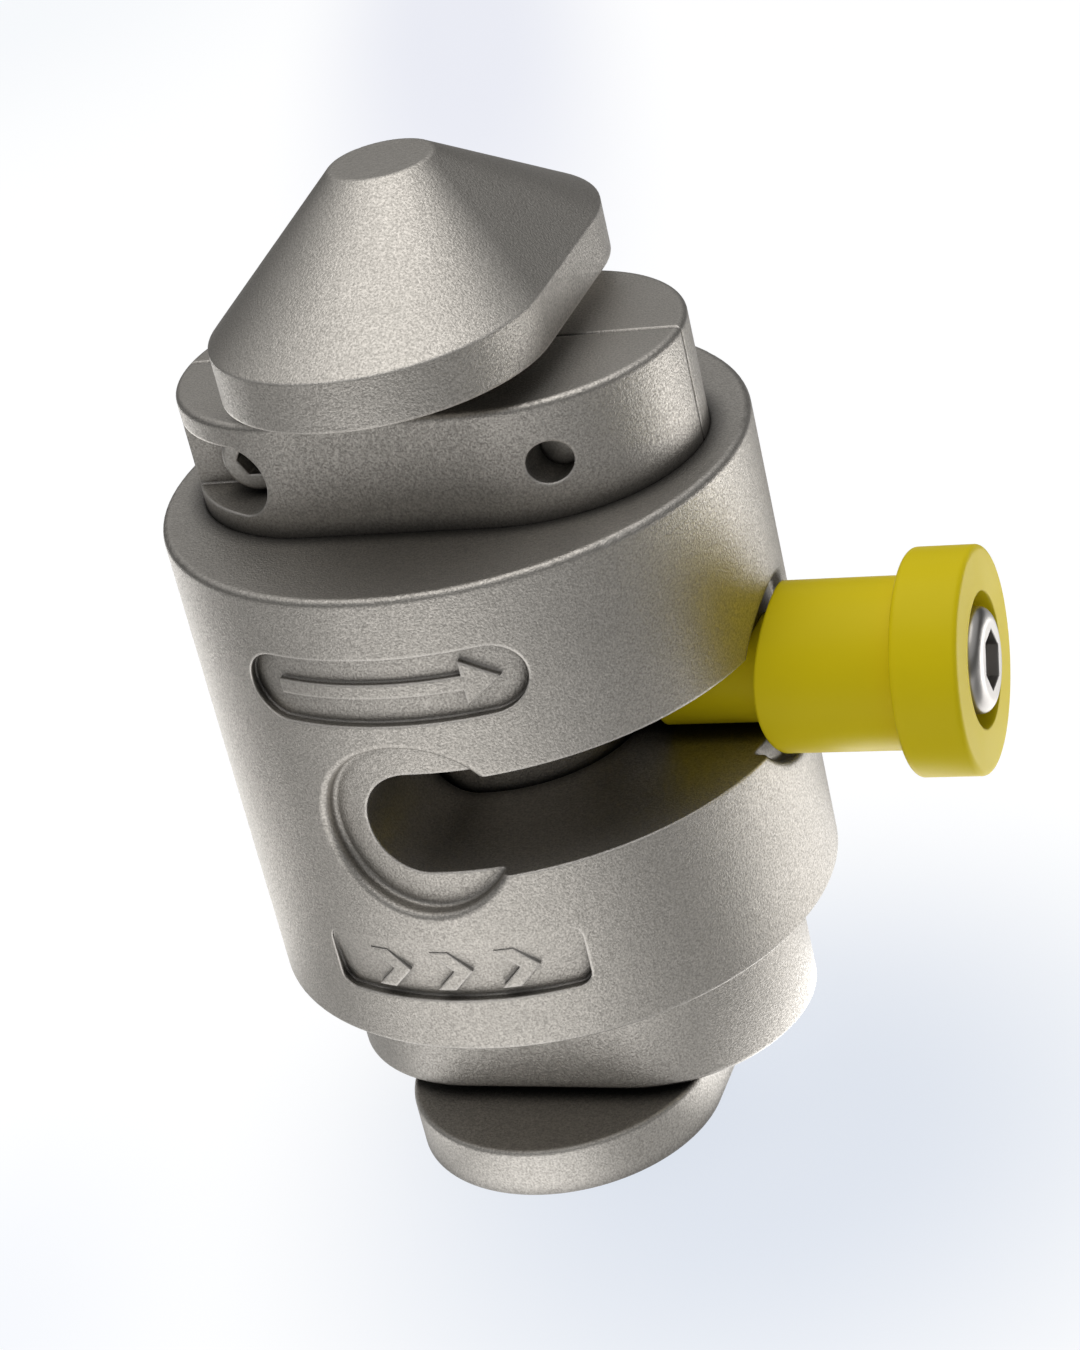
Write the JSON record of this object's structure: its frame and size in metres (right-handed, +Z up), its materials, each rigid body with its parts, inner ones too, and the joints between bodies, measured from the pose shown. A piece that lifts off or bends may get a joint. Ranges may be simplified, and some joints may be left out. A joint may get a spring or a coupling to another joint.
{
  "type": "container twistlock",
  "caption": "Manual twistlock with a round body, split collar, cone-headed spindle and a sprung handle sleeve that swings in a slot.",
  "frame": {"origin": "centre of the lower head's flat underside, on the twist axis", "axes": "+Z up along the twist axis to the cone head, +X along the handle in the locked position, -Y through the unlocked pocket"},
  "size_m": [0.1532, 0.113, 0.1956],
  "materials": {
    "body_steel": "blasted",
    "spindle_steel": "blasted",
    "screw_steel": "satin",
    "bright_steel": "polished",
    "spring_steel": "satin",
    "bronze": "machined",
    "yellow_plastic": "satin"
  },
  "bodies": {
    "body": {"housing": "body_steel", "collar_half_front": "body_steel", "collar_half_rear": "body_steel", "collar_screws": "screw_steel", "collar_dowels": "bright_steel", "upper_bush": "bronze", "upper_thrust_washer": "bronze", "lower_thrust_washer": "bronze", "lower_bush": "bronze"},
    "twist_shaft": {"spindle": "spindle_steel", "lower_head": "spindle_steel", "retaining_disc": "bright_steel", "retaining_screw": "bright_steel", "stem_tube": "bright_steel", "stop_washer": "bright_steel", "lock_washer": "bright_steel", "handle_screw": "bright_steel", "handle_spring": "spring_steel"},
    "grip": {"handle_sleeve": "yellow_plastic", "sleeve_bush": "bronze"}
  },
  "joints": [
    {"name": "spindle_twist", "type": "hinge", "parent": "body", "child": "twist_shaft", "pos_m": [0, 0, 0.08795], "axis": [0, 0, 1], "range_deg": [-90, 0]},
    {"name": "sleeve_pull", "type": "slide", "parent": "twist_shaft", "child": "grip", "axis": [1, 0, 0], "range_m": [-0.0035, 0.004], "stiffness_N_per_m": 3000, "springref_m": -0.01, "deforming": ["handle_spring"]}
  ]
}
